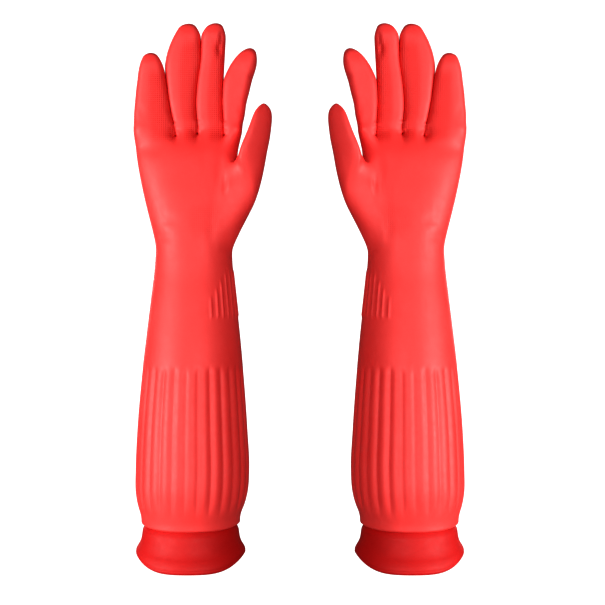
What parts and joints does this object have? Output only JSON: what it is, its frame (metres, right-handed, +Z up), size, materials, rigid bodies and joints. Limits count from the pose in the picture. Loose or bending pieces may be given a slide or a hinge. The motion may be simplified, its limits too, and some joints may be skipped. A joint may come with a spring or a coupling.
{
  "type": "pair of long rubber household gloves",
  "caption": "Pair of long red rubber gloves with flared rolled cuffs, fluted sleeves and gripping palms, standing with the fingers up.",
  "frame": {"origin": "on the ground, midway between the two cuffs, under the middle of the pair", "axes": "+Z up towards the fingertips, -Y the way the palms face, +X from the glove for the right hand towards the one for the left hand"},
  "size_m": [0.2686, 0.0794, 0.443],
  "materials": {
    "latex": "satin coral red dipped latex with a fine embossed grip",
    "cuff_latex": "satin crimson latex, darker than the sleeve"
  },
  "bodies": {
    "right_sleeve": {"right_cuff_bead": "cuff_latex", "right_cuff_band": "cuff_latex", "right_sleeve_hem": "latex", "right_sleeve": "latex", "right_wrist": "latex"},
    "right_hand": {"right_palm": "latex"},
    "right_little_base": {"right_little_base": "latex"},
    "right_little_tip": {"right_little_tip": "latex"},
    "right_ring_base": {"right_ring_base": "latex"},
    "right_ring_tip": {"right_ring_tip": "latex"},
    "right_middle_base": {"right_middle_base": "latex"},
    "right_middle_tip": {"right_middle_tip": "latex"},
    "right_index_base": {"right_index_base": "latex"},
    "right_index_tip": {"right_index_tip": "latex"},
    "right_thumb_base": {"right_thumb_base": "latex"},
    "right_thumb_tip": {"right_thumb_tip": "latex"},
    "left_sleeve": {"left_cuff_bead": "cuff_latex", "left_cuff_band": "cuff_latex", "left_sleeve_hem": "latex", "left_sleeve": "latex", "left_wrist": "latex"},
    "left_hand": {"left_palm": "latex"},
    "left_little_base": {"left_little_base": "latex"},
    "left_little_tip": {"left_little_tip": "latex"},
    "left_ring_base": {"left_ring_base": "latex"},
    "left_ring_tip": {"left_ring_tip": "latex"},
    "left_middle_base": {"left_middle_base": "latex"},
    "left_middle_tip": {"left_middle_tip": "latex"},
    "left_index_base": {"left_index_base": "latex"},
    "left_index_tip": {"left_index_tip": "latex"},
    "left_thumb_base": {"left_thumb_base": "latex"},
    "left_thumb_tip": {"left_thumb_tip": "latex"}
  },
  "joints": [
    {"name": "left_glove_lift", "type": "slide", "parent": "right_sleeve", "child": "left_sleeve", "axis": [0, 0, 1], "range_m": [0, 0.5]},
    {"name": "right_wrist_bend", "type": "hinge", "parent": "right_sleeve", "child": "right_hand", "pos_m": [-0.088, 0, 0.245], "axis": [1, 0, 0], "range_deg": [-60, 60], "stiffness_Nm_per_rad": 0.15, "deforming": ["right_wrist"]},
    {"name": "right_little_base_bend", "type": "hinge", "parent": "right_hand", "child": "right_little_base", "pos_m": [-0.119, -0.0115, 0.359], "axis": [1, 0, 0], "range_deg": [0, 85], "stiffness_Nm_per_rad": 0.02},
    {"name": "right_little_tip_bend", "type": "hinge", "parent": "right_little_base", "child": "right_little_tip", "pos_m": [-0.1212, -0.0115, 0.384], "axis": [1, 0, 0], "range_deg": [0, 90], "stiffness_Nm_per_rad": 0.012},
    {"name": "right_ring_base_bend", "type": "hinge", "parent": "right_hand", "child": "right_ring_base", "pos_m": [-0.0931, -0.0093, 0.359], "axis": [1, 0, 0], "range_deg": [0, 85], "stiffness_Nm_per_rad": 0.02},
    {"name": "right_ring_tip_bend", "type": "hinge", "parent": "right_ring_base", "child": "right_ring_tip", "pos_m": [-0.0962, -0.0094, 0.39], "axis": [1, 0, 0], "range_deg": [0, 90], "stiffness_Nm_per_rad": 0.012},
    {"name": "right_middle_base_bend", "type": "hinge", "parent": "right_hand", "child": "right_middle_base", "pos_m": [-0.0729, -0.0088, 0.359], "axis": [1, 0, 0], "range_deg": [0, 85], "stiffness_Nm_per_rad": 0.02},
    {"name": "right_middle_tip_bend", "type": "hinge", "parent": "right_middle_base", "child": "right_middle_tip", "pos_m": [-0.0732, -0.0089, 0.392], "axis": [1, 0, 0], "range_deg": [0, 90], "stiffness_Nm_per_rad": 0.012},
    {"name": "right_index_base_bend", "type": "hinge", "parent": "right_hand", "child": "right_index_base", "pos_m": [-0.0546, -0.0097, 0.359], "axis": [1, 0, 0], "range_deg": [0, 85], "stiffness_Nm_per_rad": 0.02},
    {"name": "right_index_tip_bend", "type": "hinge", "parent": "right_index_base", "child": "right_index_tip", "pos_m": [-0.0518, -0.0096, 0.387], "axis": [1, 0, 0], "range_deg": [0, 90], "stiffness_Nm_per_rad": 0.012},
    {"name": "right_thumb_base_bend", "type": "hinge", "parent": "right_hand", "child": "right_thumb_base", "pos_m": [-0.04988, -0.01841, 0.33425], "axis": [0.2379, -0.9615, -0.1375], "range_deg": [0, 70], "stiffness_Nm_per_rad": 0.02},
    {"name": "right_thumb_tip_bend", "type": "hinge", "parent": "right_thumb_base", "child": "right_thumb_tip", "pos_m": [-0.04365, -0.0197, 0.35381], "axis": [0.2375, -0.9599, -0.1489], "range_deg": [0, 80], "stiffness_Nm_per_rad": 0.012},
    {"name": "left_wrist_bend", "type": "hinge", "parent": "left_sleeve", "child": "left_hand", "pos_m": [0.088, 0, 0.245], "axis": [1, 0, 0], "range_deg": [-60, 60], "stiffness_Nm_per_rad": 0.15, "deforming": ["left_wrist"]},
    {"name": "left_little_base_bend", "type": "hinge", "parent": "left_hand", "child": "left_little_base", "pos_m": [0.119, -0.0115, 0.359], "axis": [1, 0, 0], "range_deg": [0, 85], "stiffness_Nm_per_rad": 0.02},
    {"name": "left_little_tip_bend", "type": "hinge", "parent": "left_little_base", "child": "left_little_tip", "pos_m": [0.1212, -0.0115, 0.384], "axis": [1, 0, 0], "range_deg": [0, 90], "stiffness_Nm_per_rad": 0.012},
    {"name": "left_ring_base_bend", "type": "hinge", "parent": "left_hand", "child": "left_ring_base", "pos_m": [0.0931, -0.0093, 0.359], "axis": [1, 0, 0], "range_deg": [0, 85], "stiffness_Nm_per_rad": 0.02},
    {"name": "left_ring_tip_bend", "type": "hinge", "parent": "left_ring_base", "child": "left_ring_tip", "pos_m": [0.0962, -0.0094, 0.39], "axis": [1, 0, 0], "range_deg": [0, 90], "stiffness_Nm_per_rad": 0.012},
    {"name": "left_middle_base_bend", "type": "hinge", "parent": "left_hand", "child": "left_middle_base", "pos_m": [0.0729, -0.0088, 0.359], "axis": [1, 0, 0], "range_deg": [0, 85], "stiffness_Nm_per_rad": 0.02},
    {"name": "left_middle_tip_bend", "type": "hinge", "parent": "left_middle_base", "child": "left_middle_tip", "pos_m": [0.0732, -0.0089, 0.392], "axis": [1, 0, 0], "range_deg": [0, 90], "stiffness_Nm_per_rad": 0.012},
    {"name": "left_index_base_bend", "type": "hinge", "parent": "left_hand", "child": "left_index_base", "pos_m": [0.0546, -0.0097, 0.359], "axis": [1, 0, 0], "range_deg": [0, 85], "stiffness_Nm_per_rad": 0.02},
    {"name": "left_index_tip_bend", "type": "hinge", "parent": "left_index_base", "child": "left_index_tip", "pos_m": [0.0518, -0.0096, 0.387], "axis": [1, 0, 0], "range_deg": [0, 90], "stiffness_Nm_per_rad": 0.012},
    {"name": "left_thumb_base_bend", "type": "hinge", "parent": "left_hand", "child": "left_thumb_base", "pos_m": [0.04988, -0.01841, 0.33425], "axis": [0.2379, 0.9615, 0.1375], "range_deg": [0, 70], "stiffness_Nm_per_rad": 0.02},
    {"name": "left_thumb_tip_bend", "type": "hinge", "parent": "left_thumb_base", "child": "left_thumb_tip", "pos_m": [0.04365, -0.0197, 0.35381], "axis": [0.2375, 0.9599, 0.1489], "range_deg": [0, 80], "stiffness_Nm_per_rad": 0.012}
  ]
}
